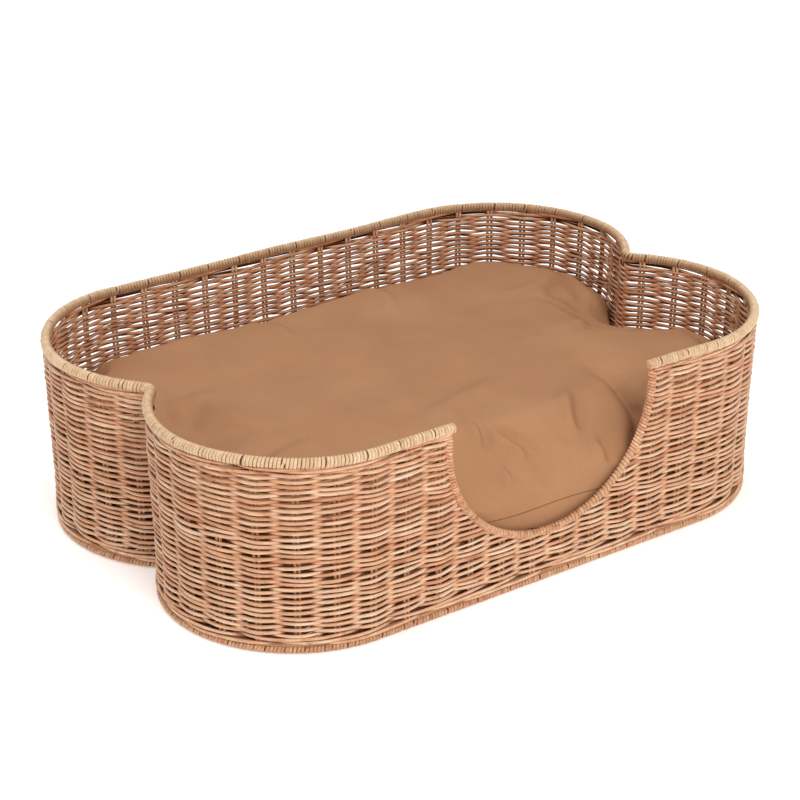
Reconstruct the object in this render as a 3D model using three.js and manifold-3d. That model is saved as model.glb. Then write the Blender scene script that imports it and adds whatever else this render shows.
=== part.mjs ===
// A bone-shaped rattan pet basket with a low entry in its front wall and a loose zipped cushion.
// Millimetres, +Z up, the entry faces -Y, origin at the middle of the underside.
import * as THREE from 'three';
import { mergeVertices } from 'three/addons/utils/BufferGeometryUtils.js';
import Module from 'manifold-3d';

const wasm = await Module();
wasm.setup();

// ---- driving dimensions ----
const overallLength = 800;
const overallWidth = 565;
const overallHeight = 234;
const lobeRadius = 160;        // of the rim's centreline, four lobes
const notchRadius = 12;        // where two lobes meet at each end
const fit = 0.3;               // gap between pieces that touch

const rimPole = 9.4;           // diameter of the rim's inner rod
const rimCane = 1;             // thickness of its cane binding
const basePole = 8;
const baseCane = 0.8;
const wallInset = 2;           // the wall's middle lies this far inside the rim's
const wallThickness = 10;
const waleHeight = 12;         // tight bands below the rim and above the base

const stakePitch = 43.8;       // wanted spacing of the uprights round the wall
const stakeWidth = 9.2;        // two rods side by side
const stakeDepth = 4;

const entryRadius = 139;       // clear opening of the entry
const entryDrop = 28;          // the arc's centre lies this far below the overall height
const entryPole = 8;
const entryCane = 1;
const entryBound = 55;         // degrees either side of the lowest point with a cane binding

const floorRise = 2.5;
const floorThickness = 8;
const stickPitch = 70;
const stickDiameter = 4;

const cushionGap = 9;          // to the wall, all round
const cushionThickness = 160;
const cushionRound = 60;       // how far the edge curves in, top and bottom
const coverThickness = 1.5;
const padGap = 0.6;            // between the cover and the pad inside it
const seamBand = 1;            // upright strip at the cushion's widest line

const zipLength = 400;
const zipTapeWidth = 9;
const zipTapeThickness = 0.8;
const zipSlot = 5;             // opening in the cover that the zip closes
const zipGap = 1.5;            // between the two tapes
const sliderLength = 12;
const sliderWidth = 8;
const sliderThickness = 2.5;
const pullLength = 14;
const pullWidth = 6;
const pullThickness = 1.2;

const lobeSteps = 10;
const notchSteps = 4;
const entrySteps = 24;

// ---- sizes that follow ----
const rimRadius = rimPole / 2 + fit + rimCane;
const rimHeight = overallHeight - rimRadius;
const lobeX = overallLength / 2 - rimRadius - lobeRadius;
const lobeY = overallWidth / 2 - rimRadius - lobeRadius;
const notchX = lobeX + Math.sqrt((lobeRadius + notchRadius) ** 2 - lobeY ** 2);
const notchAngle = Math.atan2(lobeY, notchX - lobeX);
const wallOuter = wallThickness / 2 - wallInset;
const wallInner = wallOuter - wallThickness;
const wallY = -(lobeY + lobeRadius - wallInset);
const baseHeight = basePole + 2 * (baseCane + fit);
const footTop = baseHeight + fit + stakeDepth;
const lowerWaleTop = footTop + fit + waleHeight;
const wallTop = rimHeight - rimRadius - fit;
const upperWaleFoot = wallTop - waleHeight;
const entryZ = overallHeight - entryDrop;
const entryInner = entryRadius + entryCane + fit;
const entryOuter = entryInner + entryPole;
const wallCut = entryOuter + fit;
const floorTop = floorRise + floorThickness;
const cushionFoot = floorTop + fit;
const cushionTop = cushionFoot + cushionThickness;
const cushionEdge = wallInner - cushionGap;
const seamZ = (cushionFoot + cushionTop) / 2;
const zipY = lobeY + lobeRadius + cushionEdge + fit;
const farAway = 2 * overallLength;
const octagonCorner = 1 - Math.SQRT1_2;   // a regular octagon's corner cut, as a share of its width

// ---- solids and meshes ----
function toSolid(geometry) {
  const bare = geometry.clone();
  bare.deleteAttribute('normal');
  bare.deleteAttribute('uv');
  const merged = mergeVertices(bare, 1e-4);
  return new wasm.Manifold(new wasm.Mesh({
    numProp: 3,
    vertProperties: new Float32Array(merged.attributes.position.array),
    triVerts: new Uint32Array(merged.index.array),
  }));
}

function toGeometry(solid) {
  const mesh = solid.getMesh();
  const geometry = new THREE.BufferGeometry();
  geometry.setAttribute('position', new THREE.BufferAttribute(mesh.vertProperties, 3));
  geometry.setIndex(new THREE.BufferAttribute(mesh.triVerts, 1));
  geometry.computeVertexNormals();
  return geometry;
}

const basket = new THREE.Group();

function addPart(name, geometry, material) {
  const mesh = new THREE.Mesh(geometry, material);
  mesh.name = name;
  basket.add(mesh);
  return mesh;
}

// ---- the bone-shaped plan ----
function arc(centreX, centreY, radius, from, to, steps) {
  const points = [];
  for (let i = 0; i <= steps; i += 1) {
    const angle = from + (to - from) * i / steps;
    points.push(new THREE.Vector2(centreX + radius * Math.cos(angle), centreY + radius * Math.sin(angle)));
  }
  return points;
}

// the rim's centreline moved outwards by offset, anticlockwise from the middle of the right notch
function planOutline(offset) {
  const lobe = lobeRadius + offset;
  const notch = notchRadius - offset;
  const halfNotch = arc(notchX, 0, notch, Math.PI, Math.PI - notchAngle, notchSteps / 2);
  const quarter = [...halfNotch, ...arc(lobeX, lobeY, lobe, -notchAngle, Math.PI / 2, lobeSteps).slice(1)];
  const upperLeft = quarter.map((p) => new THREE.Vector2(-p.x, p.y)).reverse();
  const upper = [...quarter, ...upperLeft];
  const lower = upper.map((p) => new THREE.Vector2(-p.x, -p.y));
  return [...upper, ...lower.slice(1, -1)];
}

function bevelled(shape, depth, bevel) {
  return new THREE.ExtrudeGeometry(shape, {
    depth: depth - 2 * bevel,
    bevelEnabled: bevel > 0,
    bevelThickness: bevel,
    bevelSize: bevel,
    bevelOffset: -bevel,
    bevelSegments: 1,
    curveSegments: entrySteps,
    steps: 1,
  }).translate(0, 0, bevel);
}

function ring(outer, inner, z0, z1, bevel = 0) {
  const shape = new THREE.Shape(planOutline(outer));
  shape.holes.push(new THREE.Path(planOutline(inner)));
  return bevelled(shape, z1 - z0, bevel).translate(0, 0, z0);
}

// a ring of eight-sided section round a centreline at the given offset and height
function roundRing(offset, height, diameter) {
  const half = diameter / 2;
  return ring(offset + half, offset - half, height - half, height + half, diameter * octagonCorner);
}

// the line that the stakes take through a binding
function stakeSlit(z0, z1) {
  return ring(stakeDepth / 2 - wallInset, -stakeDepth / 2 - wallInset, z0, z1);
}

// ---- the entry ----
function entryShape(outer, inner, top) {
  const shape = new THREE.Shape();
  shape.moveTo(-outer, top);
  shape.lineTo(-outer, entryZ);
  shape.absarc(0, entryZ, outer, Math.PI, 2 * Math.PI, false);
  shape.lineTo(outer, top);
  if (inner > 0) {
    shape.lineTo(inner, top);
    shape.lineTo(inner, entryZ);
    shape.absarc(0, entryZ, inner, 2 * Math.PI, Math.PI, true);
    shape.lineTo(-inner, top);
  }
  return shape;
}

// stands an outline drawn in X and Z upright across the front wall, depth thick
function acrossFront(shape, depth, bevel = 0) {
  return bevelled(shape, depth, bevel).rotateX(Math.PI / 2).translate(0, wallY + depth / 2, 0);
}

const frontDepth = 60;
const entryCutter = toSolid(acrossFront(entryShape(wallCut, 0, farAway), frontDepth));
const rimCutter = toSolid(acrossFront(entryShape(entryRadius, 0, farAway), frontDepth));

// ---- stakes: rod pairs bent into a U, so that each one gives two uprights ----
const planLength = (() => {
  const points = planOutline(-wallInset);
  return points.reduce((sum, p, i) => sum + p.distanceTo(points[(i + 1) % points.length]), 0);
})();
const hairpinCount = 2 * Math.round(planLength / stakePitch / 4);

// place and heading on the wall's middle line, a given way round from the right notch
function onPlan(distance) {
  const points = planOutline(-wallInset);
  let left = ((distance % planLength) + planLength) % planLength;
  for (let i = 0; i < points.length; i += 1) {
    const next = points[(i + 1) % points.length];
    const side = points[i].distanceTo(next);
    if (left <= side) {
      return points[i].clone().lerp(next, left / side);
    }
    left -= side;
  }
  return points[0].clone();
}

// uprights below the entry stop short under its pole
function stakeTop(place) {
  const nearest = Math.max(Math.abs(place.x) - stakeWidth / 2, 0);
  if (place.y > 0 || nearest >= wallCut) {
    return wallTop;
  }
  return entryZ - Math.sqrt(wallCut ** 2 - nearest ** 2) - fit;
}

// slack makes the passage that the wall leaves for it: wider all round and open at the top
function hairpin(index, slack) {
  const pitch = planLength / (2 * hairpinCount);
  const first = onPlan((2 * index + 0.5) * pitch);
  const second = onPlan((2 * index + 1.5) * pitch);
  const span = second.clone().sub(first);
  const half = span.length() / 2;
  const leg = stakeWidth / 2 + slack;
  const foot = baseHeight + fit - slack;
  const sole = footTop + slack;
  const topA = slack > 0 ? farAway : stakeTop(first);
  const topB = slack > 0 ? farAway : stakeTop(second);
  const outline = [
    [-half - leg, foot], [half + leg, foot], [half + leg, topB], [half - leg, topB],
    [half - leg, sole], [-half + leg, sole], [-half + leg, topA], [-half - leg, topA],
  ].map(([x, z]) => new THREE.Vector2(x, z));
  const depth = stakeDepth + 2 * slack;
  const middle = first.clone().add(second).multiplyScalar(0.5);
  return new THREE.ExtrudeGeometry(new THREE.Shape(outline), { depth, bevelEnabled: false })
    .translate(0, 0, -depth / 2)
    .rotateX(Math.PI / 2)
    .rotateZ(Math.atan2(span.y, span.x))
    .translate(middle.x, middle.y, 0);
}

const caneStraw = new THREE.MeshStandardMaterial({ color: 0xd9b38a, roughness: 0.5, metalness: 0 });
const rattanHoney = new THREE.MeshStandardMaterial({ color: 0xc08e68, roughness: 0.55, metalness: 0 });
const rattanDark = new THREE.MeshStandardMaterial({ color: 0x9c6a45, roughness: 0.6, metalness: 0 });
const canvas = new THREE.MeshStandardMaterial({ color: 0xb88a62, roughness: 0.9, metalness: 0 });
const filling = new THREE.MeshStandardMaterial({ color: 0xefece4, roughness: 0.95, metalness: 0 });
const zipTapeCloth = new THREE.MeshStandardMaterial({ color: 0xa67c55, roughness: 0.9, metalness: 0 });
const zipMetal = new THREE.MeshStandardMaterial({ color: 0x8f8f8c, roughness: 0.35, metalness: 1 });

function addStakes() {
  for (let i = 0; i < hairpinCount; i += 1) {
    addPart(`stake_${String(i + 1).padStart(2, '0')}`, hairpin(i, 0), rattanDark);
  }
}

// ---- base: pole, binding, floor ----
function addBase() {
  const poleHeight = baseHeight / 2;
  addPart('base_pole', roundRing(-wallInset, poleHeight, basePole), rattanDark);
  const sleeve = toSolid(roundRing(-wallInset, poleHeight, baseHeight));
  const bore = toSolid(roundRing(-wallInset, poleHeight, basePole + 2 * fit));
  const slit = toSolid(stakeSlit(poleHeight, baseHeight + 1));
  addPart('base_binding', toGeometry(sleeve.subtract(bore).subtract(slit)), caneStraw);

  const edge = wallInner + (wallThickness - baseHeight) / 2 - 2 * fit;
  const stickRadius = stickDiameter / 2;
  const stickZ = floorRise + floorThickness / 2;
  let weave = toSolid(new THREE.ExtrudeGeometry(
    new THREE.Shape(planOutline(edge)),
    { depth: floorThickness, bevelEnabled: false },
  ).translate(0, 0, floorRise));
  const reach = notchX - notchRadius + edge - stickPitch / 3;
  const perSide = Math.floor(reach / stickPitch);
  for (let i = -perSide; i <= perSide; i += 1) {
    const x = i * stickPitch;
    const past = Math.max(Math.abs(x) + stickRadius - lobeX, 0);
    const half = lobeY + Math.sqrt((lobeRadius + edge) ** 2 - past ** 2) - 2 * fit;
    const stick = new THREE.CylinderGeometry(stickRadius, stickRadius, 2 * half, 8).translate(x, 0, stickZ);
    addPart(`floor_stick_${String(i + perSide + 1).padStart(2, '0')}`, stick, rattanDark);
    const boreRadius = stickRadius + fit;
    const channel = new THREE.CylinderGeometry(boreRadius, boreRadius, farAway, 8).translate(x, 0, stickZ);
    weave = weave.subtract(toSolid(channel));
  }
  addPart('floor_weave', toGeometry(weave), rattanHoney);
}

// ---- wall: two wale bands and the plain weave between them, woven round the stakes ----
function addWall() {
  const bands = [
    ['lower_wale', footTop + fit, lowerWaleTop],
    ['wall_weave', lowerWaleTop + fit, upperWaleFoot - fit],
    ['upper_wale', upperWaleFoot, wallTop],
  ];
  let passage = entryCutter;
  for (let i = 0; i < hairpinCount; i += 1) {
    passage = passage.add(toSolid(hairpin(i, fit)));
  }
  for (const [name, z0, z1] of bands) {
    addPart(name, toGeometry(toSolid(ring(wallOuter, wallInner, z0, z1)).subtract(passage)), rattanHoney);
  }
}

// ---- entry: a U-shaped pole with cane round its lowest stretch ----
function addEntry() {
  const pole = entryShape(entryOuter, entryInner, wallTop);
  addPart('entry_pole', acrossFront(pole, entryPole, entryPole * octagonCorner), rattanHoney);
  const turn = entryBound * Math.PI / 180;
  const arcBand = (outer, inner, margin) => {
    const shape = new THREE.Shape();
    const low = 1.5 * Math.PI;
    shape.absarc(0, entryZ, outer, low - turn - margin, low + turn + margin, false);
    shape.absarc(0, entryZ, inner, low + turn + margin, low - turn - margin, true);
    return shape;
  };
  const sleeve = toSolid(acrossFront(arcBand(entryOuter, entryRadius, 0), entryPole + 2 * (entryCane + fit)));
  const bore = toSolid(acrossFront(arcBand(entryOuter + 1, entryInner - fit, turn), entryPole + 2 * fit));
  addPart('entry_binding', toGeometry(sleeve.subtract(bore)), caneStraw);
}

// ---- rim: an open ring of pole with a cane binding, ending at the entry ----
function addRim() {
  const pole = toSolid(roundRing(0, rimHeight, rimPole)).subtract(rimCutter);
  addPart('rim_pole', toGeometry(pole), rattanDark);
  const sleeve = toSolid(roundRing(0, rimHeight, 2 * rimRadius));
  const bore = toSolid(roundRing(0, rimHeight, rimPole + 2 * fit));
  const slit = toSolid(stakeSlit(rimHeight - rimRadius - 1, rimHeight));
  addPart('rim_binding', toGeometry(sleeve.subtract(bore).subtract(slit).subtract(rimCutter)), caneStraw);
}

// ---- cushion: a zipped cover over a filled inner pad ----
function pillow(inset) {
  const half = cushionThickness / 2 - inset;
  return new THREE.ExtrudeGeometry(new THREE.Shape(planOutline(cushionEdge - inset)), {
    depth: seamBand,
    bevelEnabled: true,
    bevelThickness: half - seamBand / 2,
    bevelSize: cushionRound,
    bevelOffset: -cushionRound,
    bevelSegments: 2,
  }).translate(0, 0, seamZ - seamBand / 2);
}

function addCushion() {
  const skin = toSolid(pillow(0));
  const hollow = toSolid(pillow(coverThickness));
  const slit = new THREE.BoxGeometry(zipLength, 4 * coverThickness, zipSlot).translate(0, zipY, seamZ);
  addPart('cushion_cover', toGeometry(skin.subtract(hollow).subtract(toSolid(slit))), canvas);
  addPart('cushion_pad', pillow(coverThickness + padGap), filling);
}

function addZip() {
  const tape = new THREE.BoxGeometry(zipLength + 2 * zipTapeWidth, zipTapeThickness, zipTapeWidth)
    .translate(0, zipY + zipTapeThickness / 2, 0);
  const shift = (zipGap + zipTapeWidth) / 2;
  addPart('zip_tape_upper', tape.clone(), zipTapeCloth).position.z = seamZ + shift;
  addPart('zip_tape_lower', tape.clone(), zipTapeCloth).position.z = seamZ - shift;

  const sliderX = zipLength / 2 - sliderLength;
  const sliderY = zipY + zipTapeThickness + fit;
  const slider = new THREE.BoxGeometry(sliderLength, sliderThickness, sliderWidth)
    .translate(sliderX, sliderY + sliderThickness / 2, seamZ);
  addPart('zip_slider', slider, zipMetal);
  const pull = new THREE.BoxGeometry(pullLength, pullThickness, pullWidth)
    .translate(sliderX + pullLength / 2, sliderY + sliderThickness + fit + pullThickness / 2, seamZ);
  addPart('zip_pull', pull, zipMetal);
}

addBase();
addStakes();
addWall();
addEntry();
addRim();
addCushion();
addZip();

export default basket;
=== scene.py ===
import math

import bmesh
import bpy
import numpy as np
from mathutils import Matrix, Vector


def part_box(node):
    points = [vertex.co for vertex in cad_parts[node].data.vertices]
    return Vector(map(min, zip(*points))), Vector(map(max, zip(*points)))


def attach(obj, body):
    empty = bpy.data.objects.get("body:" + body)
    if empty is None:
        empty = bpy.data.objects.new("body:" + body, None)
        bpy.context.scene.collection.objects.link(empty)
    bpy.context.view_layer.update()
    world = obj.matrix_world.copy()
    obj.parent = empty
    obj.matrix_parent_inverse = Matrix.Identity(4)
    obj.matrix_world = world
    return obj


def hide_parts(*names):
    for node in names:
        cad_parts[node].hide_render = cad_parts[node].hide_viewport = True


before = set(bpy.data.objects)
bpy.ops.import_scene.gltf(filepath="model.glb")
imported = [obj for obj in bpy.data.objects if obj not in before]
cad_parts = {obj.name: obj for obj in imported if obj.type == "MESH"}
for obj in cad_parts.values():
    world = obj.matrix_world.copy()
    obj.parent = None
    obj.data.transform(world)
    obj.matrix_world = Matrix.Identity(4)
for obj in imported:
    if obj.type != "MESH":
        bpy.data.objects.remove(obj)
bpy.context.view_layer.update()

chance = np.random.default_rng(11)


class Wire:
    # a socket that shader maths can be written with
    def __init__(self, shader, socket):
        self.shader = shader
        self.socket = socket

    def math(self, operation, other):
        return self.shader.calculate(operation, self, other)

    def __add__(self, other):
        return self.math("ADD", other)

    def __sub__(self, other):
        return self.math("SUBTRACT", other)

    def __rsub__(self, other):
        return self.shader.calculate("SUBTRACT", other, self)

    def __mul__(self, other):
        return self.math("MULTIPLY", other)

    __radd__ = __add__
    __rmul__ = __mul__

    def limited(self, low, high):
        return self.math("MAXIMUM", low).math("MINIMUM", high)

    def step(self, low, high):
        # 0 below low, 1 above high, smooth between
        return self.shader.node(
            "ShaderNodeMapRange",
            {"interpolation_type": "SMOOTHSTEP"},
            {"Value": self, "From Min": low, "From Max": high},
        )


class Shader:
    def __init__(self, name, world=None):
        self.material = world or bpy.data.materials.new(name)
        self.material.use_nodes = True
        self.tree = self.material.node_tree
        self.surface = self.tree.nodes["Background" if world else "Principled BSDF"]

    def feed(self, place, value):
        if isinstance(value, Wire):
            self.tree.links.new(value.socket, place)
        else:
            place.default_value = value

    def node(self, kind, settings=None, inputs=None, output=0):
        # settings come first, then the values and links of the sockets
        made = self.tree.nodes.new(kind)
        for key, value in (settings or {}).items():
            if key != "stops":
                setattr(made, key, value)
                continue
            stops = made.color_ramp.elements
            while len(stops) < len(value):
                stops.new(0.5)
            for stop, (position, colour) in zip(stops, value):
                stop.position = position
                stop.color = (*colour, 1.0)
        for key, value in (inputs or {}).items():
            self.feed(made.inputs[key], value)
        if isinstance(output, tuple):
            return [Wire(self, made.outputs[key]) for key in output]
        return Wire(self, made.outputs[output])

    def calculate(self, operation, first, second):
        return self.node("ShaderNodeMath", {"operation": operation}, {0: first, 1: second})

    def attribute(self, name):
        return self.node("ShaderNodeAttribute", {"attribute_name": name}, output="Fac")

    def place(self):
        return self.node("ShaderNodeTexCoord", output="Object")

    def split(self, vector):
        return self.node("ShaderNodeSeparateXYZ", inputs={0: vector}, output=(0, 1, 2))

    def join(self, x, y, z):
        return self.node("ShaderNodeCombineXYZ", inputs={0: x, 1: y, 2: z})

    def noise(self, vector, scale, detail=2.0, roughness=0.5):
        return self.node(
            "ShaderNodeTexNoise",
            inputs={"Vector": vector, "Scale": scale, "Detail": detail, "Roughness": roughness},
        )

    def mix(self, factor, first, second, blend="MIX"):
        settings = {"data_type": "RGBA", "blend_type": blend}
        return self.node("ShaderNodeMix", settings, {0: factor, 6: first, 7: second}, output=2)

    def ramp(self, factor, stops):
        return self.node("ShaderNodeValToRGB", {"stops": stops}, {0: factor})

    def bump(self, height, strength, distance):
        inputs = {"Height": height, "Strength": strength, "Distance": distance}
        return self.node("ShaderNodeBump", inputs=inputs)

    def finish(self, **values):
        for key, value in values.items():
            self.feed(self.surface.inputs[key.replace("_", " ")], value)
        return self.material


def linear(red, green, blue):
    # a screen colour, 0 to 255, as shader light
    parts = (part / 255 for part in (red, green, blue))
    return tuple(part / 12.92 if part <= 0.04 else ((part + 0.055) / 1.055) ** 2.4 for part in parts)


def rodMaterial(name, look):
    # tone tells strands apart, along and around run on the strand, and the last two marks are painted shade:
    # one in the weave's crevices, one on the side that faces the basket's interior
    s = Shader(name)
    tone = s.attribute("tone")
    along = s.attribute("along")
    around = s.attribute("around")
    hollow = s.attribute("hollow")
    inside = s.attribute("inside")
    lot = tone * 43.0
    slow = s.noise(s.join(along * 13.0, lot, 0.0), 1.0, 2.0)
    stain = s.noise(s.join(along * 46.0, lot + 7.0, around * 0.6), 1.0, 3.0, 0.6)
    fibre = s.noise(s.join(along * 55.0, around * 9.0, lot), 1.0, 3.0, 0.65)
    shade = (tone * 0.5 + slow * 0.85 + (stain - 0.5) * look["stain"] - 0.2).limited(0.0, 1.0)
    colour = s.ramp(shade, look["colours"])
    red = s.noise(s.join(along * 21.0, lot + 19.0, 0.0), 1.0, 2.0).step(0.5, 0.7) * look["red"]
    colour = s.mix(red, colour, (*linear(214, 140, 104), 1.0))
    blotch = stain.step(look["blotchFrom"], look["blotchFrom"] + 0.14) * look["blotch"]
    colour = s.mix(blotch, colour, (*look["dark"], 1.0))
    colour = s.mix((1.0 - fibre.step(0.35, 0.7)) * look["fibre"], colour, (*look["dark"], 1.0), "MULTIPLY")
    # painted shade: the side that faces the basket's interior is darkened
    colour = s.mix(inside * 0.9, colour, (0.71, 0.56, 0.45, 1.0), "MULTIPLY")
    # painted shade: the weave's crevices are multiplied towards a deep red-brown and near-black, and lose the
    # coat's gloss
    colour = s.mix(hollow.step(0.08, 0.6) * 0.75, colour, (0.66, 0.38, 0.22, 1.0), "MULTIPLY")
    colour = s.mix(hollow * look["hollow"], colour, (0.06, 0.008, 0.001, 1.0), "MULTIPLY")
    rough = look["rough"] + (fibre - 0.5) * 0.3 + (stain - 0.5) * 0.2
    return s.finish(
        Base_Color=colour,
        Roughness=rough,
        Specular_IOR_Level=look["gloss"],
        Coat_Weight=(1.0 - hollow) * look["coat"],
        Coat_Roughness=0.36,
        Normal=s.bump(fibre * 0.7 + stain * 0.3, look["bump"], 0.0006),
    )


# in each look, the last value is the strength of the painted shade in the weave's crevices
rodLook = {
    "colours": [
        (0.08, linear(250, 221, 190)),
        (0.34, linear(240, 199, 163)),
        (0.58, linear(228, 176, 137)),
        (0.8, linear(204, 144, 104)),
        (1.0, linear(168, 106, 70)),
    ],
    "dark": linear(142, 84, 52),
    "stain": 0.6, "red": 0.3, "blotchFrom": 0.61, "blotch": 0.5, "fibre": 0.4,
    "rough": 0.46, "gloss": 0.08, "coat": 0.32, "bump": 0.35, "hollow": 0.96,
}
caneLook = {
    "colours": [
        (0.08, linear(238, 218, 182)),
        (0.4, linear(227, 198, 159)),
        (0.7, linear(213, 176, 137)),
        (1.0, linear(178, 132, 95)),
    ],
    "dark": linear(150, 100, 62),
    "stain": 0.45, "red": 0.12, "blotchFrom": 0.64, "blotch": 0.4, "fibre": 0.25,
    "rough": 0.36, "gloss": 0.12, "coat": 0.6, "bump": 0.25, "hollow": 0.8,
}
barkLook = {
    "colours": [
        (0.1, linear(236, 194, 154)),
        (0.5, linear(222, 172, 130)),
        (1.0, linear(188, 130, 92)),
    ],
    "dark": linear(130, 78, 48),
    "stain": 0.5, "red": 0.3, "blotchFrom": 0.6, "blotch": 0.4, "fibre": 0.4,
    "rough": 0.5, "gloss": 0.08, "coat": 0.25, "bump": 0.4, "hollow": 0.85,
}
rodSkin = rodMaterial("rattan_rod", rodLook)
caneSkin = rodMaterial("cane_strip", caneLook)
barkSkin = rodMaterial("stake_rod", barkLook)
wornLook = {
    **caneLook,
    "colours": [
        (0.08, linear(236, 199, 160)),
        (0.4, linear(222, 178, 139)),
        (0.7, linear(206, 155, 117)),
        (1.0, linear(168, 112, 77)),
    ],
    "stain": 0.7, "blotch": 0.55, "fibre": 0.4, "coat": 0.35,
}
wornSkin = rodMaterial("worn_cane", wornLook)


def canvasMaterial(name, look):
    s = Shader(name)
    x, y, z = s.split(s.place())
    across = s.join(x + y * 0.31, y - x * 0.31 + z * 0.95, 0.0)
    threads = {
        "Vector": across, "Scale": look["threads"], "Distortion": 2.6, "Detail": 2.0, "Detail Scale": 1.5,
    }
    warp, weft = (
        s.node("ShaderNodeTexWave", {"wave_type": "BANDS", "bands_direction": way}, threads, output="Fac")
        for way in ("X", "Y")
    )
    cloth = warp.math("MAXIMUM", weft)
    slub = s.noise(s.join(x * 260.0, y * 900.0, z * 500.0), 1.0, 3.0, 0.6)
    cloud = s.noise(s.place(), 9.0, 3.0, 0.55)
    shade = (cloud * 0.65 + slub * 0.4 - 0.05).limited(0.0, 1.0)
    colour = s.ramp(shade, look["colours"])
    colour = s.mix((1.0 - cloth) * 0.25, colour, (*look["dark"], 1.0), "MULTIPLY")
    return s.finish(
        Base_Color=colour,
        Roughness=0.86 + (slub - 0.5) * 0.2,
        Specular_IOR_Level=0.15,
        Normal=s.bump(cloth * 0.6 + slub * 0.6, look["bump"], 0.0005),
    )


canvasLook = {
    "colours": [(0.2, linear(160, 115, 82)), (0.5, linear(174, 128, 93)), (0.85, linear(186, 141, 105))],
    "dark": linear(150, 104, 68), "threads": 420.0, "bump": 0.2,
}
canvasSkin = canvasMaterial("canvas", canvasLook)
tapeLook = {
    "colours": [(0.2, linear(150, 106, 72)), (0.8, linear(172, 126, 88))],
    "dark": linear(110, 76, 50), "threads": 700.0, "bump": 0.4,
}
tapeSkin = canvasMaterial("zip_tape_cloth", tapeLook)


def metalMaterial(name):
    s = Shader(name)
    x, y, z = s.split(s.place())
    brushed = s.noise(s.join(x * 60.0, y * 2500.0, z * 2500.0), 1.0, 3.0, 0.6)
    worn = s.noise(s.place(), 400.0, 3.0)
    return s.finish(
        Base_Color=s.mix(worn.step(0.4, 0.75), (0.24, 0.19, 0.13, 1.0), (0.36, 0.29, 0.2, 1.0)),
        Metallic=1.0,
        Roughness=0.26 + brushed * 0.25,
        Normal=s.bump(brushed, 0.15, 0.0002),
    )


metalSkin = metalMaterial("zip_metal")
print("materials made")

# the plan outline is a chain of arcs and straights, so offsets of it are exact
plan = {"length": 0.8, "width": 0.565, "rimRadius": 0.006, "lobe": 0.16, "notch": 0.012, "middle": -0.002}
lobeX = plan["length"] / 2 - plan["rimRadius"] - plan["lobe"]
lobeY = plan["width"] / 2 - plan["rimRadius"] - plan["lobe"]
notchX = lobeX + math.sqrt((plan["lobe"] + plan["notch"]) ** 2 - lobeY ** 2)
notchTurn = math.atan2(lobeY, notchX - lobeX)
rimFront = lobeY + plan["lobe"]

# an arc has its centre, 1 if it bulges out and -1 if in, and its start and end angle; a straight has its
# start, 0, its heading and its length
lobeSize = plan["lobe"] + plan["middle"]
notchSize = plan["notch"] - plan["middle"]
half = math.pi / 2
runs = [
    ("arc", notchX, 0, -1, math.pi, math.pi - notchTurn),
    ("arc", lobeX, lobeY, 1, -notchTurn, half),
    ("line", lobeX, rimFront, 0, math.pi, 2 * lobeX),
    ("arc", -lobeX, lobeY, 1, half, math.pi + notchTurn),
    ("arc", -notchX, 0, -1, notchTurn, -notchTurn),
    ("arc", -lobeX, -lobeY, 1, math.pi - notchTurn, 3 * half),
    ("line", -lobeX, -rimFront, 0, 0.0, 2 * lobeX),
    ("arc", lobeX, -lobeY, 1, -half, notchTurn),
    ("arc", notchX, 0, -1, math.pi + notchTurn, math.pi),
]
runLengths = [
    run[5] if run[0] == "line" else abs(run[5] - run[4]) * (lobeSize if run[3] > 0 else notchSize)
    for run in runs
]
runStarts = np.concatenate([[0.0], np.cumsum(runLengths)])
planLength = runStarts[-1]
frontMiddle = runStarts[6] + lobeX
rearMiddle = runStarts[2] + lobeX


def planAt(distance, offset):
    # points and outward directions at distances round the wall, offset outwards from the rim's centreline
    distance = np.mod(np.asarray(distance, float), planLength)
    offset = np.broadcast_to(np.asarray(offset, float), distance.shape)
    x, y, nx, ny = (np.zeros_like(distance) for _ in range(4))
    index = np.clip(np.searchsorted(runStarts, distance, side="right") - 1, 0, len(runs) - 1)
    for i, (kind, cx, cy, sign, a, b) in enumerate(runs):
        here = index == i
        part = (distance[here] - runStarts[i]) / runLengths[i]
        if kind == "line":
            heading = np.array([math.cos(a), math.sin(a)])
            nx[here], ny[here] = heading[1], -heading[0]
            x[here] = cx + heading[0] * part * b + nx[here] * offset[here]
            y[here] = cy + heading[1] * part * b + ny[here] * offset[here]
            continue
        angle = a + (b - a) * part
        size = plan["lobe"] + offset[here] if sign > 0 else plan["notch"] - offset[here]
        x[here], y[here] = cx + size * np.cos(angle), cy + size * np.sin(angle)
        nx[here], ny[here] = sign * np.cos(angle), sign * np.sin(angle)
    return x, y, nx, ny


def wobble(distance, seed, waves, size):
    # a smooth closed ripple round the plan
    dice = np.random.default_rng(seed)
    total = np.zeros_like(np.asarray(distance, float))
    for wave in waves:
        total = total + dice.normal() * np.sin(2 * math.pi * (wave * distance / planLength + dice.random()))
    return total * size / math.sqrt(len(waves))


# painted shade: how much the side that faces into the weave is darkened, and how much all round a strand that
# lies deep or proud
creviceShading = {"side": 1.1, "deep": 0.85, "proud": 0.06}


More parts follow.
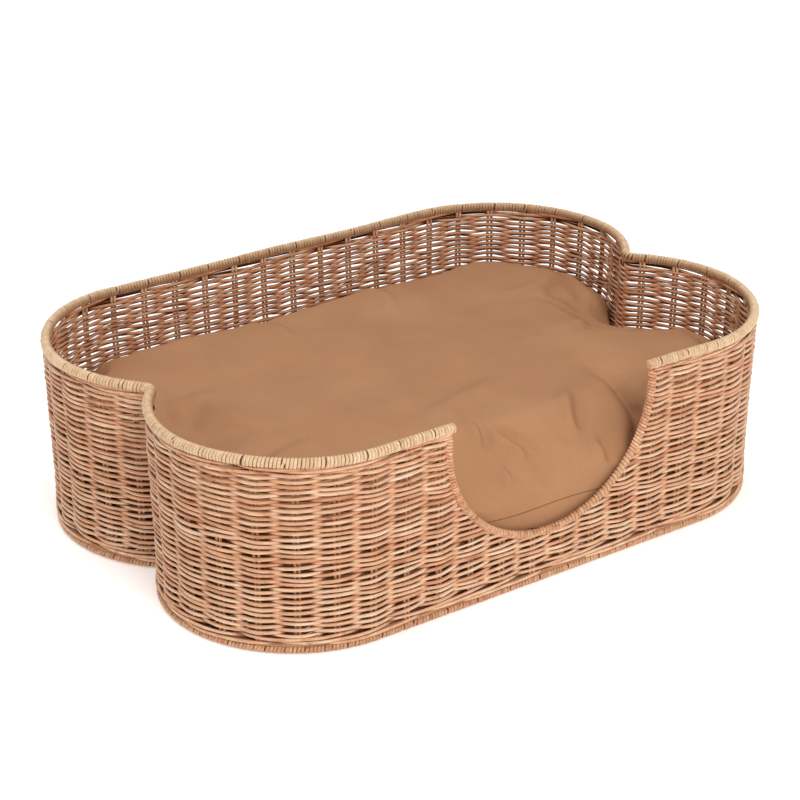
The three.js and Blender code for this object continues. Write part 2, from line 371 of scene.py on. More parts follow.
class Strands:
    # many strands swept into one mesh as arrays, because each corner carries its own shading marks
    def __init__(self, name):
        self.name = name
        self.corners, self.loops, self.starts = [], [], []
        self.values = {"tone": [], "along": [], "around": [], "hollow": [], "inside": []}
        self.count = 0
        self.loopCount = 0

    def add(
        self, points, sideways, upwards, profile, closed=False, tone=0.5, along=None, scale=1.0,
        depth=0.0, inner=0.0, shaded=0.0,
    ):
        # sideways x upwards points along the strand; profile runs anticlockwise in that plane
        # depth is -1 to 1 through the weave, and the side that faces into it gets painted shade;
        # inner marks the side that faces the basket's interior for painted shade, and shaded paints shade all
        # round
        n, m = len(points), len(profile)
        scale = np.broadcast_to(np.asarray(scale, float), (n,))[:, None, None]
        ring = profile[:, :1] * sideways[:, None, :] + profile[:, 1:] * upwards[:, None, :]
        self.corners.append((points[:, None, :] + ring * scale).reshape(-1, 3))
        rows = np.arange(n if closed else n - 1)[:, None]
        cols = np.arange(m)[None, :]
        ahead = (rows + 1) % n
        after = (cols + 1) % m
        quads = np.stack(
            [rows * m + cols, rows * m + after, ahead * m + after, ahead * m + cols], axis=-1
        ).reshape(-1, 4)
        self.push(quads)
        if not closed:
            self.push(np.arange(m)[::-1][None, :])
            self.push(((n - 1) * m + np.arange(m))[None, :])
        if along is None:
            along = np.concatenate([[0.0], np.cumsum(np.linalg.norm(np.diff(points, axis=0), axis=1))])
        spread = np.arange(m) / m
        self.values["tone"].append(np.repeat(np.broadcast_to(np.asarray(tone, float), (n,)), m))
        self.values["along"].append(np.repeat(along, m))
        self.values["around"].append(np.tile(0.5 - 0.5 * np.cos(2 * math.pi * spread), n))
        inwards = profile[:, 0] / np.abs(profile[:, 0]).max()
        depth = np.broadcast_to(np.asarray(depth, float), (n,))
        self.values["inside"].append(np.tile(np.clip(inwards * inner, 0, 1), n))
        # strands on the inner side lie deep, so they get painted shade all round
        deep = np.where(depth < 0, creviceShading["deep"], creviceShading["proud"]) * np.abs(depth) ** 2 + shaded
        hollow = depth[:, None] * inwards * creviceShading["side"] + deep[:, None]
        self.values["hollow"].append(np.clip(hollow, 0, 1).ravel())
        self.count += n * m

    def lay(self, points, profile, closed, *values, **shading):
        # a strand that never runs straight up: sideways is level, and upwards is square to it
        ahead = directions(points, closed)
        level = np.cross(np.array([0.0, 0.0, 1.0]), ahead)
        level /= np.linalg.norm(level, axis=1, keepdims=True)
        self.add(points, level, np.cross(ahead, level), profile, closed, *values, **shading)

    def push(self, faces):
        self.loops.append((faces + self.count).ravel())
        size = faces.shape[1]
        self.starts.append(self.loopCount + size * np.arange(len(faces)))
        self.loopCount += faces.size

    def make(self, skin, body, nodes=()):
        mesh = bpy.data.meshes.new(self.name)
        corners = np.concatenate(self.corners)
        loops = np.concatenate(self.loops)
        starts = np.concatenate(self.starts)
        mesh.vertices.add(len(corners))
        mesh.vertices.foreach_set("co", corners.ravel())
        mesh.loops.add(len(loops))
        mesh.loops.foreach_set("vertex_index", loops)
        mesh.polygons.add(len(starts))
        mesh.polygons.foreach_set("loop_start", starts)
        mesh.update(calc_edges=True)
        mesh.polygons.foreach_set("use_smooth", np.ones(len(starts), bool))
        for key, parts in self.values.items():
            mesh.attributes.new(key, "FLOAT", "POINT").data.foreach_set("value", np.concatenate(parts))
        mesh.materials.append(skin)
        piece = bpy.data.objects.new(self.name, mesh)
        bpy.context.scene.collection.objects.link(piece)
        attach(piece, body)
        if nodes:
            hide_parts(*nodes)
        print(self.name, len(loops) // 2, "triangles at most")


def roundProfile(radius, sides, flat=1.0):
    angle = 2 * math.pi * (np.arange(sides) + 0.5) / sides
    return np.stack([radius * np.cos(angle), radius * flat * np.sin(angle)], axis=1)


def stripProfile(width, inner, outer):
    # a crowned strip's section, x along the pole, y away from it
    w = width / 2
    rise = outer - inner
    return np.array([
        [w, inner], [0.88 * w, inner + 0.52 * rise], [0.5 * w, inner + 0.9 * rise], [0.0, outer],
        [-0.5 * w, inner + 0.9 * rise], [-0.88 * w, inner + 0.52 * rise], [-w, inner],
    ])


def directions(points, closed):
    if closed:
        ahead = np.roll(points, -1, axis=0) - np.roll(points, 1, axis=0)
    else:
        ahead = np.gradient(points, axis=0)
    return ahead / np.linalg.norm(ahead, axis=1, keepdims=True)


entry = {
    "radius": 0.1443, "z": 0.206, "trim": 0.001, "pole": 0.0032, "outer": 0.0048, "top": 0.2225,
    "bound": math.radians(57), "forward": 0.0009, "perTurn": 16,
    "cane": {"pitch": 0.0047, "width": 0.0045},
    "turns": {"pitch": 0.0038, "width": 0.0036, "lift": 0.0002, "sunk": 0.0003},
}
# uprights in the wall
stakeCount = 56
wall = {
    "pitch": planLength / stakeCount, "rowPitch": 0.00342, "firstRow": 0.0222, "lastRow": 0.2125,
    "swing": 0.0036, "radius": 0.00206, "perPitch": 10, "sides": 7, "bands": 4, "bend": 1.1,
    # height and how far out the wall's outside stands from the rim's centreline
    "outer": [
        (0.0, 0.0010), (0.012, 0.0012), (0.03, 0.0004), (0.06, 0.0004), (0.095, 0.0012), (0.12, 0.002),
        (0.15, 0.0027), (0.19, 0.0041), (0.222, 0.0042),
    ],
    # how uneven the rods are: sideways, up and down, from rod to rod, along a rod, and how flat their section
    "push": 0.00028, "lift": 0.00042, "thick": 0.06, "swell": 0.035, "oval": 0.07,
    # the length over which a rod's end is tucked in at the entry
    "tuck": 0.008,
    # the heights between which rows sag and wave, and how much
    "loose": (0.008, 0.222), "looseFade": 0.03, "wave": 0.0008, "ripple": 0.0006,
}
stakePlaces = (np.arange(stakeCount) + 0.5) * wall["pitch"]
stakeDips = chance.uniform(-0.0016, 0.0006, stakeCount)


def wallMiddle(z):
    # the wall's middle, as an offset from the rim's centreline
    heights, outs = zip(*wall["outer"])
    return np.interp(z, heights, outs) - wall["swing"] - wall["radius"]


def dipAt(distance, z):
    # strands sag a little where they pass the stakes, less towards the tight bands
    step = distance / wall["pitch"] - 0.5
    near = np.round(step).astype(int)
    closeness = np.cos(math.pi * (step - near)) ** 2
    low, high = wall["loose"]
    loose = max(min(1.0, (z - low) / wall["looseFade"], (high - z) / wall["looseFade"]), 0.0)
    wave = wobble(distance, 5, (2, 3, 5, 9), wall["wave"])
    wave = wave + wobble(distance + 3.7 * z, 6, (11, 17, 23), wall["ripple"])
    return loose * (wave - stakeDips[near % stakeCount] * closeness)


def entryHalf(z):
    # half the width the entry takes out of a row at this height, 0 below it
    below = max(entry["z"] - z, 0.0)
    return math.sqrt(max((entry["radius"] - entry["trim"]) ** 2 - below ** 2, 0.0))


# room behind the zip for its pull to turn: how far in the rods come, how far it runs along and above, and a
# little more where the pull is parked
room = {
    "inner": -0.0062, "along": 0.212, "above": 0.0085, "fadeAlong": 0.02, "fadeAbove": 0.003,
    "parkedX": 0.195, "parkedAlong": 0.016, "fadeParked": 0.006, "more": 0.0014,
}
pullZ = sum(corner[2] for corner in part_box("zip_pull")) / 2


def leaveRoom(offset, distance, height):
    along = (room["along"] + room["fadeAlong"] - np.abs(distance - rearMiddle)) / room["fadeAlong"]
    above = (room["above"] - np.abs(height - pullZ)) / room["fadeAbove"]
    mask = np.clip(along, 0, 1) * np.clip(above, 0, 1)
    parked = room["parkedAlong"] + room["fadeParked"] - np.abs(distance - rearMiddle + room["parkedX"])
    inner = room["inner"] + room["more"] * np.clip(parked / room["fadeParked"], 0, 1)
    return np.maximum(offset, np.where(mask > 0, inner - 0.003 * (1 - mask), -1.0))


rowCount = int(round((wall["lastRow"] - wall["firstRow"]) / wall["rowPitch"])) + 1
bandSize = math.ceil(rowCount / wall["bands"])
circle = roundProfile(1.0, wall["sides"])
rowTone = chance.uniform(0.0, 1.0, rowCount)
# random values lie at each stake, or at fewer places, for twice round
stakeSteps = np.linspace(0, planLength * 2, 2 * stakeCount + 1)
swellSteps = np.linspace(0, planLength * 2, 41)
for band in range(wall["bands"]):
    strands = Strands(f"wall_weave_{band + 1}")
    for row in range(band * bandSize, min((band + 1) * bandSize, rowCount)):
        z = wall["firstRow"] + row * wall["rowPitch"]
        opening = entryHalf(z)
        closed = opening == 0
        steps = stakeCount * wall["perPitch"]
        if closed:
            distance = np.arange(steps) * planLength / steps
        else:
            start = frontMiddle + opening
            end = frontMiddle + planLength - opening
            distance = np.linspace(start, end, int((end - start) / planLength * steps) + 1)
        phase = math.pi * (distance / wall["pitch"] - 0.5 + row)
        cosine = np.cos(phase)
        shape = np.sign(cosine) * np.abs(cosine) ** wall["bend"]
        jitter = np.random.default_rng(900 + row)
        push = np.interp(distance, stakeSteps, jitter.normal(0, wall["push"], len(stakeSteps)))
        lift = np.interp(distance, stakeSteps, jitter.normal(0, wall["lift"], len(stakeSteps)))
        height = z + dipAt(distance, z) + lift
        offset = wallMiddle(height) + wall["swing"] * shape + push
        offset = leaveRoom(offset, np.mod(distance, planLength), height)
        if not closed:
            fromEnd = np.minimum(distance - distance[0], distance[-1] - distance)
            tuck = np.clip(1 - fromEnd / wall["tuck"], 0, 1)
            offset = offset * (1 - tuck) + wallMiddle(height) * tuck
        x, y, _, _ = planAt(distance, offset)
        points = np.stack([x, y, height], axis=1)
        thick = jitter.normal(1.0, wall["thick"])
        swelling = np.interp(distance, swellSteps, jitter.normal(0, wall["swell"], len(swellSteps)))
        radius = wall["radius"] * thick * (1 + wall["oval"] * np.cos(2 * phase)) * (1 + swelling)
        lengths = np.interp(distance, np.sort(jitter.uniform(0, planLength * 2, 5)), jitter.uniform(0, 1, 5))
        tone = 0.55 * rowTone[row] + 0.45 * lengths
        strands.lay(points, circle, closed, tone, distance + 3.1 * row, radius, shape, 1.0)
    strands.make(rodSkin, "basket", ["wall_weave"] if band == 0 else ())


# a wale is a tight band of three strands at each end of the wall
wale = {
    "radius": 0.0019, "swing": 0.0039, "perPitch": 12, "lift": 0.0003, "roll": 0.0006,
    "lower": [0.0110, 0.0146, 0.0184], "upper": [0.2156, 0.2190, 0.2222],
}


def addWale(name, heights, node, toneShift):
    strands = Strands(name)
    for k, z in enumerate(heights):
        opening = entryHalf(z)
        closed = opening == 0
        start, end = frontMiddle + opening, frontMiddle + planLength - opening
        if closed:
            start, end = 0.0, planLength
        distance = np.linspace(start, end, stakeCount * wale["perPitch"], endpoint=not closed)
        # outside about three stakes and behind one, and steps of four close up after 56 stakes
        turn = 2 * math.pi * (distance / wall["pitch"] - 0.5 + k) / 4
        wave = np.tanh(1.5 * (np.cos(turn) + 0.45))
        jitter = np.random.default_rng(77 + k)
        lift = np.interp(distance, stakeSteps, jitter.normal(0, wale["lift"], len(stakeSteps)))
        height = z + dipAt(distance, z) + lift + wale["roll"] * np.sin(turn)
        x, y, _, _ = planAt(distance, wallMiddle(z) + wale["swing"] * wave)
        points = np.stack([x, y, height], axis=1)
        tone = np.clip(toneShift + 0.5 * jitter.random() + wobble(distance, 30 + k, (3, 5, 8), 0.16), 0, 1)
        strands.lay(points, roundProfile(wale["radius"], 8), closed, tone, distance + k, 1.0, wave, 1.0)
    strands.make(rodSkin, "basket", [node])


addWale("lower_wale_rods", wale["lower"], "lower_wale", 0.05)
addWale("upper_wale_rods", wale["upper"], "upper_wale", 0.35)

# each stake is a pair of rods side by side
stake = {
    "radius": 0.0018, "apart": 0.0024, "foot": 0.0065, "top": 0.2235, "points": 26,
    "drift": 0.00035, "lean": 0.0001,
}
strands = Strands("stake_rods")
for number, place in enumerate(stakePlaces):
    for side in (-1, 1):
        jitter = np.random.default_rng(500 + 2 * number + side)
        s = place + side * stake["apart"]
        span = abs(s - frontMiddle)
        top = stake["top"]
        if span < entry["radius"]:
            top = entry["z"] - math.sqrt(entry["radius"] ** 2 - span ** 2)
        z = np.linspace(stake["foot"], top, stake["points"])
        drift = np.interp(z, np.linspace(0, 0.23, 7), jitter.normal(0, stake["drift"], 7))
        x, y, nx, ny = planAt(s + drift, wallMiddle(z) + jitter.normal(0, stake["lean"]))
        points = np.stack([x, y, z], axis=1)
        outward = np.stack([nx, ny, np.zeros_like(nx)], axis=1)
        ahead = directions(points, False)
        sideways = np.cross(outward, ahead)
        sideways /= np.linalg.norm(sideways, axis=1, keepdims=True)
        forwards = np.cross(ahead, sideways)
        strands.add(points, sideways, forwards, roundProfile(stake["radius"], 7), False, jitter.random())
stakeNodes = [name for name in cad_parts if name.startswith("stake_")]
strands.make(barkSkin, "basket", stakeNodes)


# turns vary in size and slip by a part of the pitch, stakes push them apart, and the last ones are tighter
winding = {"uneven": 0.022, "slip": 0.05, "push": 0.00075, "fade": 0.008, "ends": 0.94}
# how far a strip's edges sink into its pole
sunk = 0.0002


def wind(
    name, pole, pitch, profile, perTurn, skin, nodes, seed, spread=0.25, gaps=(),
    body="basket", shade=0.0,
):
    # a strip laid round a pole turn by turn; the pole is points on its axis and two directions across it
    centres, outward, upward = pole
    steps = np.linalg.norm(np.diff(centres, axis=0), axis=1)
    travel = np.concatenate([[0.0], np.cumsum(steps)])
    turns = max(int(round(travel[-1] / pitch)), 1)
    count = turns * perTurn + 1
    way = np.linspace(0, travel[-1], count)
    axis, out, up = (
        np.stack([np.interp(way, travel, values[:, i]) for i in range(3)], axis=1)
        for values in (centres, outward, upward)
    )
    angle = 2 * math.pi * np.arange(count) / perTurn
    dice = np.random.default_rng(seed)
    radial = np.cos(angle)[:, None] * out + np.sin(angle)[:, None] * up
    ahead = directions(axis, False)
    turnOf = np.arange(count) / perTurn
    knots = np.arange(turns + 2)
    swell = 1 + np.interp(turnOf, knots, dice.normal(0, winding["uneven"], turns + 2))
    shift = np.interp(turnOf, knots, dice.normal(0, pitch * winding["slip"], turns + 2))
    for gap in gaps:
        apart = way - gap
        shift = shift + winding["push"] * np.sign(apart) * np.exp(-np.abs(apart) / winding["fade"])
    ends = np.clip(np.minimum(way, way[-1] - way) / (1.5 * pitch), 0, 1)
    shift *= ends
    swell *= winding["ends"] + (1 - winding["ends"]) * ends
    lengths = np.arange(0, turns + 40, 20)
    slow = np.interp(turnOf, lengths, dice.uniform(0, 1, len(lengths)))
    fast = np.interp(turnOf, knots, dice.uniform(0, 1, turns + 2))
    tone = np.clip(0.12 + 0.45 * slow + spread * fast, 0, 1)
    strands = Strands(name)
    shaded = shade * np.clip(-np.cos(angle), 0, 1)
    points = axis + ahead * shift[:, None]
    strands.add(points, -ahead, radial, profile, False, tone, way * 14.0, swell, shaded=shaded)
    strands.make(skin, body, nodes)


def poleAt(distance, offset, height):
    # a level pole's axis, and the ways outwards and up from it
    x, y, nx, ny = planAt(distance, offset)
    centres = np.stack([x, y, height + 0 * x], axis=1)
    return centres, np.stack([nx, ny, 0 * nx], axis=1), np.tile([0.0, 0.0, 1.0], (len(x), 1))


rim = {
    "height": 0.228, "end": 0.139, "pole": 0.0046, "outer": 0.006, "pitch": 0.0041, "width": 0.00392,
    "perTurn": 16, "shade": 0.4,
}
distance = np.linspace(frontMiddle + rim["end"], frontMiddle + planLength - rim["end"], 2400)
pole = poleAt(distance, 0.0, rim["height"] + wobble(distance, 8, (2, 5, 9, 14), 0.0005))
centres = pole[0]
stakeGaps = np.mod(stakePlaces - distance[0], planLength)
stakeGaps = stakeGaps[stakeGaps < distance[-1] - distance[0]]
strip = stripProfile(rim["width"], rim["pole"] - sunk, rim["outer"])
wind("rim_cane", pole, rim["pitch"], strip, rim["perTurn"], caneSkin,
     ["rim_binding"], 3, 0.42, stakeGaps, shade=rim["shade"])

strands = Strands("rim_rod")
strands.lay(centres[::4], roundProfile(rim["pole"], 10), False, 0.7, shaded=0.9)
strands.make(barkSkin, "basket", ["rim_pole"])
# the rim's ends are rounded over
strands = Strands("rim_ends")
for end, inner in ((0, 12), (-1, -13)):
    outwards = (centres[end] - centres[inner]) / np.linalg.norm(centres[end] - centres[inner])
    way = np.array([-0.003, 0.0002, 0.0012, 0.0019, 0.0022])
    size = np.array([0.95, 0.96, 0.84, 0.6, 0.2])
    points = centres[end] + outwards * way[:, None]
    strands.lay(points, roundProfile(rim["outer"], 14), False, 0.45, None, size)
strands.make(wornSkin, "basket")

base = {
    "height": 0.0047, "offset": -0.0040, "pole": 0.0034, "outer": 0.0044, "pitch": 0.0042, "width": 0.00395,
    "perTurn": 12,
    # rods that fill in between the base, the wall and the floor: offset, height, radius
    "fillers": [
        (float(wallMiddle(0.011)), 0.0104, 0.0026), (-0.0108, 0.0066, 0.0030), (-0.0158, 0.0062, 0.0028),
    ],
}
distance = np.linspace(0, planLength, 2400)
pole = poleAt(distance, base["offset"], base["height"])
strip = stripProfile(base["width"], base["pole"] - sunk, base["outer"])
wind("base_cane", pole, base["pitch"], strip, base["perTurn"], wornSkin, ["base_binding"], 4, 0.5,
     stakePlaces)
strands = Strands("foot_rods")
for offset, z, radius in base["fillers"]:
    points = poleAt(distance[:-1:3], offset, z)[0]
    strands.lay(points, roundProfile(radius, 8), True, 0.6, distance[:-1:3], shaded=0.25)
strands.make(barkSkin, "basket")
strands = Strands("base_rod")
points = pole[0][:-1:4]
along = np.linspace(0, planLength, len(points))
strands.lay(points, roundProfile(base["pole"], 10), True, 0.7, along, shaded=0.8)
strands.make(barkSkin, "basket", ["base_pole"])


def entryPath(count, start, end):
    # from angle start to end, measured from straight down, and straight up past a quarter turn
    angle = np.linspace(start, end, count)
    bent = np.clip(angle, -half, half)
    over = np.maximum(np.abs(angle) - half, 0) * entry["radius"]
    x = entry["radius"] * np.sin(bent)
    z = entry["z"] - entry["radius"] * np.cos(bent) + over
    y = -(rimFront + wallMiddle(z) + entry["forward"])
    centres = np.stack([x, y, z], axis=1)
    inward = np.stack([-np.sin(bent), 0 * bent, np.cos(bent)], axis=1)
    front = np.tile([0.0, -1.0, 0.0], (count, 1))
    return centres, front, inward


reach = half + (entry["top"] - entry["z"]) / entry["radius"]
centres, front, _ = entryPath(240, -reach, reach)
strands = Strands("entry_rod")
ahead = directions(centres, False)
strands.add(centres, np.cross(front, ahead), front, roundProfile(entry["pole"], 10), False, 0.6)
strands.make(barkSkin, "basket", ["entry_pole"])

cane = entry["cane"]
strip = stripProfile(cane["width"], entry["pole"] - sunk, entry["outer"])
wind("entry_cane", entryPath(400, -entry["bound"], entry["bound"]), cane["pitch"], strip, entry["perTurn"],
     wornSkin, ["entry_binding"], 6, 0.6)
turns = entry["turns"]
strip = stripProfile(turns["width"], entry["pole"] - turns["sunk"], entry["outer"] + turns["lift"])
for name, start, end in (("left", -reach, -entry["bound"]), ("right", entry["bound"], reach)):
    wind(f"entry_turns_{name}", entryPath(300, start, end), turns["pitch"], strip, entry["perTurn"], rodSkin,
         (), 7, 0.6)

# the floor's rods run over and under its sticks
floor = {
    "rowPitch": 0.0054, "radius": 0.0026, "z": 0.0065, "swing": 0.0014, "edge": 0.0125, "step": 0.0085,
    "stickPitch": 0.07, "stick": 0.002, "stickApart": 0.0026, "slice": 0.0012,
}
strands = Strands("floor_weave_rods")
outline = np.linspace(0, planLength, 3000)
ox, oy, _, _ = planAt(outline, -floor["edge"])
stickNodes = sorted(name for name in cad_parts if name.startswith("floor_stick_"))
sticksX = [sum(corner[0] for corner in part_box(name)) / 2 for name in stickNodes]
rows = int((rimFront - floor["edge"]) * 2 / floor["rowPitch"]) - 1
for row in range(rows):
    y = -(rows - 1) / 2 * floor["rowPitch"] + row * floor["rowPitch"]
    reachX = ox[np.abs(oy - y) < floor["slice"]].max() - 0.001
    x = np.linspace(-reachX, reachX, int(2 * reachX / floor["step"]))
    swing = np.cos(math.pi * (x / floor["stickPitch"] + row))
    z = floor["z"] + floor["swing"] * swing
    points = np.stack([x, np.full_like(x, y), z], axis=1)
    tone = chance.uniform(0, 1) * 0.7 + 0.15
    strands.lay(points, roundProfile(1.0, 6, 0.9), False, tone, x + 2.0 * row, floor["radius"])
strands.make(rodSkin, "basket", ["floor_weave"])
strands = Strands("floor_sticks")
for x in sticksX:
    for side in (-1, 1):
        sx = x + side * floor["stickApart"]
        span = oy[np.abs(ox - sx) < floor["slice"]].max() - 0.002
        y = np.linspace(-span, span, 40)
        points = np.stack([np.full_like(y, sx), y, np.full_like(y, floor["z"])], axis=1)
        strands.lay(points, roundProfile(floor["stick"], 8), False, chance.uniform(0.2, 0.9))
strands.make(barkSkin, "basket", stickNodes)
print("basket made")

cushion = {
    "edge": -0.0160, "seam": 0.0890, "foot": 0.0112, "top": 0.1640, "highest": 0.196, "wallGap": 0.0012,
    "insets": [0.0, 0.004, 0.010, 0.018, 0.028, 0.040, 0.055, 0.075, 0.105],
    # the shoulder between the seam and the flat top or foot, and how it changes near the entry
    "shoulder": {"width": 0.036, "upper": 0.055, "lower": -0.010, "reach": 0.2, "bend": 2.2, "round": 0.55},
    "samples": 300, "voxel": 0.006, "fill": 0.7, "frames": 14, "cap": 0.010,
    "cloth": {
        "quality": 5, "mass": 0.35, "tension_stiffness": 12, "compression_stiffness": 12,
        "shear_stiffness": 4, "bending_stiffness": 0.25, "shrink_min": -0.035,
        "use_pressure": True, "uniform_pressure_force": 4.0,
    },
    # puckers start at the seam and die away, and soft ridges lie a little further in
    "pucker": {"size": 0.0015, "from": 0.006, "fade": 0.028},
    "ridge": {"size": 0.0024, "middle": 0.04, "fade": 0.03},
    "seamDip": 0.0012, "seamWidth": 0.003, "seamThread": 0.0006,
}
zipper = {
    "z": 0.0908, "coilY": 0.2609, "coil": 0.0009, "thread": 0.00034, "length": 0.4, "pitch": 0.0013,
    "dip": -0.0168, "dipAlong": 0.203, "dipAbove": 0.0105, "dipSlope": 0.35,
}


def near(distance, middle, width):
    # 1 at a place round the plan, fading out over width
    gap = np.mod(distance - middle + planLength / 2, planLength) - planLength / 2
    return np.exp(-(gap / width) ** 2)


def seamInset(distance):
    return 0.006 * near(distance, frontMiddle + 0.17, 0.05) - 0.004 * near(distance, frontMiddle, 0.1)


def seamHeight(distance):
    rise = 0.006 * near(distance, frontMiddle - 0.12, 0.05) - 0.003 * near(distance, frontMiddle + 0.1, 0.06)
    return cushion["seam"] + rise + wobble(distance, 12, (3, 7, 13), 0.0015)


def cushionRing(distance, inset, upper):
    x, y, _, _ = planAt(distance, cushion["edge"] - seamInset(distance) - inset)
    shoulder = cushion["shoulder"]
    change = shoulder["upper" if upper else "lower"]
    width = shoulder["width"] + change * near(distance, frontMiddle, shoulder["reach"])
    part = np.clip(inset / width, 0, 1)
    rise = (1 - (1 - part) ** shoulder["bend"]) ** shoulder["round"]
    seam = seamHeight(distance)
    limit = cushion["top"] if upper else cushion["foot"]
    return np.stack([x, y, seam + (limit - seam) * rise], axis=1)


def planOffset(x, y):
    # how far out from the rim's centreline a point near the edge lies, and the way out there
    ax, ay = np.abs(x), np.abs(y)
    dx, dy = ax - lobeX, ay - lobeY
    far = np.maximum(np.hypot(dx, dy), 1e-6)
    offset, ox, oy = far - plan["lobe"], dx / far, dy / far
    flat = dx <= 0
    offset, ox, oy = np.where(flat, ay - rimFront, offset), np.where(flat, 0.0, ox), np.where(flat, 1.0, oy)
    dip = (dx > 0) & (np.arctan2(dy, dx) < -notchTurn)
    reachBack = np.maximum(np.hypot(ax - notchX, ay), 1e-6)
    offset = np.where(dip, plan["notch"] - reachBack, offset)
    ox, oy = np.where(dip, -(ax - notchX) / reachBack, ox), np.where(dip, -ay / reachBack, oy)
    return offset, ox * np.sign(x), oy * np.sign(y)


def keepInside(points):
    # nothing of the cushion goes through the wall
    offset, ox, oy = planOffset(points[:, 0], points[:, 1])
    inner = wallMiddle(points[:, 2]) - wall["swing"] - wall["radius"] - cushion["wallGap"]
    # the zip lies in a shallow dip at the rear
    along = np.maximum(np.abs(points[:, 0]) - zipper["dipAlong"], 0)
    above = np.maximum(np.abs(points[:, 2] - zipper["z"]) - zipper["dipAbove"], 0)
    dip = zipper["dip"] + zipper["dipSlope"] * (along + above)
    inner = np.where(points[:, 1] > 0, np.minimum(inner, dip), inner)
    over = np.maximum(offset - inner, 0)
    points[:, 0] -= ox * over
    points[:, 1] -= oy * over
    points[:, 2] = np.clip(points[:, 2], cushion["foot"], cushion["highest"])
    return points


def makeCushion():
    distance = np.arange(cushion["samples"]) * planLength / cushion["samples"]
    insets = cushion["insets"]
    shell = bmesh.new()
    rings = [cushionRing(distance, inset, False) for inset in insets[::-1]]
    rings += [cushionRing(distance, inset, True) for inset in insets[1:]]
    loops = []
    for ring in rings:
        corners = [shell.verts.new(point) for point in ring]
        edges = [shell.edges.new((corners[i - 1], corners[i])) for i in range(len(corners))]
        loops.append((corners, edges))
    for (_, first), (_, second) in zip(loops, loops[1:]):
        bmesh.ops.bridge_loops(shell, edges=first + second)
    shell.faces.new(loops[0][0])
    shell.faces.new(loops[-1][0])
    bmesh.ops.recalc_face_normals(shell, faces=shell.faces)
    mesh = bpy.data.meshes.new("cushion")
    shell.to_mesh(mesh)
    shell.free()
    piece = bpy.data.objects.new("cushion", mesh)
    bpy.context.scene.collection.objects.link(piece)
    return piece


def applied(piece):
    graph = bpy.context.evaluated_depsgraph_get()
    mesh = bpy.data.meshes.new_from_object(piece.evaluated_get(graph))
    piece.modifiers.clear()
    old = piece.data
    piece.data = mesh
    bpy.data.meshes.remove(old)


def meshValues(mesh, key):
    values = np.empty(len(mesh.vertices) * 3)
    mesh.vertices.foreach_get(key, values)
    return values.reshape(-1, 3)


pad = makeCushion()
remesh = pad.modifiers.new("remesh", "REMESH")
remesh.mode = "VOXEL"
remesh.voxel_size = cushion["voxel"]
applied(pad)
start = meshValues(pad.data, "co")
print("cushion remeshed", len(start))

fine = np.arange(2400) * planLength / 2400
seamLine = cushionRing(fine, 0.0, True)


def nearest(points, line):
    # for each point, the nearest sample of a line and how far away it is
    best = np.full(len(points), 9.0)
    which = np.zeros(len(points), int)
    for first in range(0, len(points), 4000):
        block = points[first:first + 4000]
        gap = np.linalg.norm(block[:, None, :] - line[None, :, :], axis=2)
        which[first:first + 4000] = gap.argmin(axis=1)
        best[first:first + 4000] = gap.min(axis=1)
    return best, which


cloth = pad.modifiers.new("cloth", "CLOTH")
for key, value in cushion["cloth"].items():
    setattr(cloth.settings, key, value)
cloth.settings.effector_weights.gravity = 0
cloth.collision_settings.use_collision = False
scene = bpy.context.scene
for number in range(1, cushion["frames"] + 1):
    scene.frame_set(number)
applied(pad)
scene.frame_set(1)
end = meshValues(pad.data, "co")
move = end - start
length = np.linalg.norm(move, axis=1, keepdims=True)
print("cloth moved", float(length.max()), "at most,", float(length.mean()), "on average")
move *= np.minimum(1.0, cushion["cap"] / np.maximum(length, 1e-9))
pad.data.vertices.foreach_set("co", (start + move).ravel())

smooth = pad.modifiers.new("finer", "SUBSURF")
smooth.levels = smooth.render_levels = 1
applied(pad)
mesh = pad.data
points = meshValues(mesh, "co")
normals = meshValues(mesh, "normal")
gap, which = nearest(points, seamLine[::3])
s = fine[which * 3]
side = np.sign(points[:, 2] - seamLine[which * 3, 2])
puckers = cushion["pucker"]
pucker = wobble(s + 0.004 * side, 21, (37, 53, 71, 89, 113), puckers["size"])
pucker = pucker * np.exp(-gap / puckers["fade"]) * np.clip(gap / puckers["from"], 0, 1)
ridges = cushion["ridge"]
ridge = wobble(s + gap * 0.6, 22, (17, 23, 31), ridges["size"])
ridge = ridge * np.exp(-((gap - ridges["middle"]) / ridges["fade"]) ** 2)
moved = pucker + ridge - cushion["seamDip"] * np.exp(-(gap / cushion["seamWidth"]) ** 2)
# soft lumps over the top
x, y, z = points.T
broad = np.sin(21 * x + 1.3 + 6 * y) * np.sin(17 * y + 0.4 - 4 * x) * 0.0035
small = np.sin(39 * x - 13 * y) * np.sin(33 * y + 2) * 0.0012
moved = moved + (broad + small) * np.clip((z - cushion["seam"]) / 0.04, 0, 1)


def curvePoints(corners, count):
    # an even smooth line through a few corners
    corners = np.array(corners, float)
    knots = np.arange(len(corners))
    way = np.linspace(0, len(corners) - 1, count)
    padded = np.vstack([2 * corners[0] - corners[1], corners, 2 * corners[-1] - corners[-2]])
    k = np.minimum(way.astype(int), len(corners) - 2)
    t = (way - k)[:, None]
    a, b, c, d = (padded[k + i] for i in range(4))
    square, cube = 2 * a - 5 * b + 4 * c - d, 3 * b - a - 3 * c + d
    return 0.5 * (2 * b + (c - a) * t + square * t ** 2 + cube * t ** 3)


